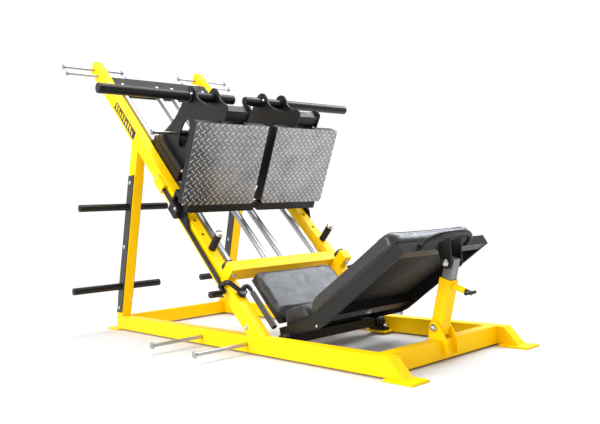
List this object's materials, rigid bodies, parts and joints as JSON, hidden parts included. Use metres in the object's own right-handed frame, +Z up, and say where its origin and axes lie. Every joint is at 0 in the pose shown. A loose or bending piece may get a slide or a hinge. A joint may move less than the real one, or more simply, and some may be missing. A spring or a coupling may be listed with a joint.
{
  "type": "hack squat machine",
  "caption": "Sloping-rail squat and leg press machine with split foot carriages on guide rods, loading bars, lock levers, plate horns and a tilting padded bench.",
  "frame": {"origin": "on the floor at the middle of the bounding box", "axes": "+X to the right across the machine, +Y from the head end of the bench to the rear uprights, +Z up"},
  "size_m": [1.536, 2.34, 1.5615],
  "materials": {
    "yellow_paint": "bright yellow powder coat, satin",
    "black_paint": "black fine-texture powder coat",
    "chrome": "polished hard chrome",
    "zinc": "grey zinc-plated square tube",
    "tread": "five-bar raised tread pattern, lightly scuffed",
    "vinyl": "black upholstery vinyl over foam",
    "rubber": "matt black rubber",
    "plastic": "matt black wear strip"
  },
  "bodies": {
    "frame": {"base_front_crossmember": "yellow_paint", "base_rear_crossmember": "yellow_paint", "rod_crossmember": "yellow_paint", "top_beam": "black_paint", "base_rail_left": "yellow_paint", "upright_left": "yellow_paint", "wear_strip_left": "plastic", "storage_horn_lower_left": "black_paint", "storage_horn_upper_left": "black_paint", "base_band_peg_front_left": "chrome", "base_band_peg_rear_left": "chrome", "incline_rail_left": "yellow_paint", "guide_rod_outer_left": "chrome", "guide_rod_inner_left": "chrome", "bumper_left": "rubber", "top_band_peg_lower_left": "chrome", "top_band_peg_upper_left": "chrome", "pillow_block_left": "black_paint", "base_rail_right": "yellow_paint", "upright_right": "yellow_paint", "wear_strip_right": "plastic", "storage_horn_lower_right": "black_paint", "storage_horn_upper_right": "black_paint", "base_band_peg_front_right": "chrome", "base_band_peg_rear_right": "chrome", "incline_rail_right": "yellow_paint", "guide_rod_outer_right": "chrome", "guide_rod_inner_right": "chrome", "bumper_right": "rubber", "top_band_peg_lower_right": "chrome", "top_band_peg_upper_right": "chrome", "pillow_block_right": "black_paint"},
    "carriage_left": {"carriage_frame_left": "black_paint", "loading_bar_left": "black_paint", "foot_tray_left": "black_paint", "tread_plate_left": "tread", "carriage_band_peg_left": "chrome", "bearing_housing_outer_left": "black_paint", "bearing_housing_inner_left": "black_paint"},
    "lock_lever_left": {"lock_lever_left": "black_paint", "lock_grip_left": "rubber"},
    "stop_peg_left": {"stop_peg_left": "black_paint"},
    "carriage_right": {"carriage_frame_right": "black_paint", "loading_bar_right": "black_paint", "foot_tray_right": "black_paint", "tread_plate_right": "tread", "carriage_band_peg_right": "chrome", "bearing_housing_outer_right": "black_paint", "bearing_housing_inner_right": "black_paint"},
    "lock_lever_right": {"lock_lever_right": "black_paint", "lock_grip_right": "rubber"},
    "stop_peg_right": {"stop_peg_right": "black_paint"},
    "bench": {"bench_frame": "black_paint", "back_pad": "vinyl", "hip_pad": "vinyl", "seat_pad": "vinyl", "bench_handle": "black_paint"},
    "strut_outer": {"strut_outer": "yellow_paint"},
    "strut_inner": {"strut_inner": "zinc"},
    "pop_pin": {"pop_pin": "black_paint"}
  },
  "joints": [
    {"name": "carriage_slide_left", "type": "slide", "parent": "frame", "child": "carriage_left", "axis": [0, 0.7071, 0.7071], "range_m": [0, 0.45]},
    {"name": "carriage_slide_right", "type": "slide", "parent": "frame", "child": "carriage_right", "axis": [0, 0.7071, 0.7071], "range_m": [0, 0.45]},
    {"name": "lock_lever_swing_left", "type": "hinge", "parent": "frame", "child": "lock_lever_left", "pos_m": [-0.384, 0.11783, 0.51641], "axis": [0, -0.7071, -0.7071], "range_deg": [0, 60]},
    {"name": "lock_lever_swing_right", "type": "hinge", "parent": "frame", "child": "lock_lever_right", "pos_m": [0.384, 0.11783, 0.51641], "axis": [0, 0.7071, 0.7071], "range_deg": [0, 60]},
    {"name": "stop_peg_lift_left", "type": "slide", "parent": "frame", "child": "stop_peg_left", "axis": [0, -0.7071, 0.7071], "range_m": [0, 0.06]},
    {"name": "stop_peg_lift_right", "type": "slide", "parent": "frame", "child": "stop_peg_right", "axis": [0, -0.7071, 0.7071], "range_m": [0, 0.06]},
    {"name": "bench_tilt", "type": "hinge", "parent": "frame", "child": "bench", "pos_m": [0, -0.41401, 0.06], "axis": [-1, 0, 0], "range_deg": [-4, 4]},
    {"name": "strut_swing", "type": "hinge", "parent": "frame", "child": "strut_outer", "pos_m": [0, -0.99301, 0.122], "axis": [-1, 0, 0], "range_deg": [-7.8, 7.8]},
    {"name": "strut_extend", "type": "slide", "parent": "strut_outer", "child": "strut_inner", "axis": [0, -0.2924, 0.9563], "range_m": [-0.038, 0.038]},
    {"name": "pop_pin_pull", "type": "slide", "parent": "strut_outer", "child": "pop_pin", "axis": [0, -0.9563, -0.2924], "range_m": [0, 0.012], "stiffness_N_per_m": 900, "springref_m": -0.006}
  ],
  "couplings": [
    {"joint": "strut_swing", "follows": "bench_tilt", "ratio": 1.92},
    {"joint": "strut_extend", "follows": "bench_tilt", "m_per_rad": 0.534}
  ]
}
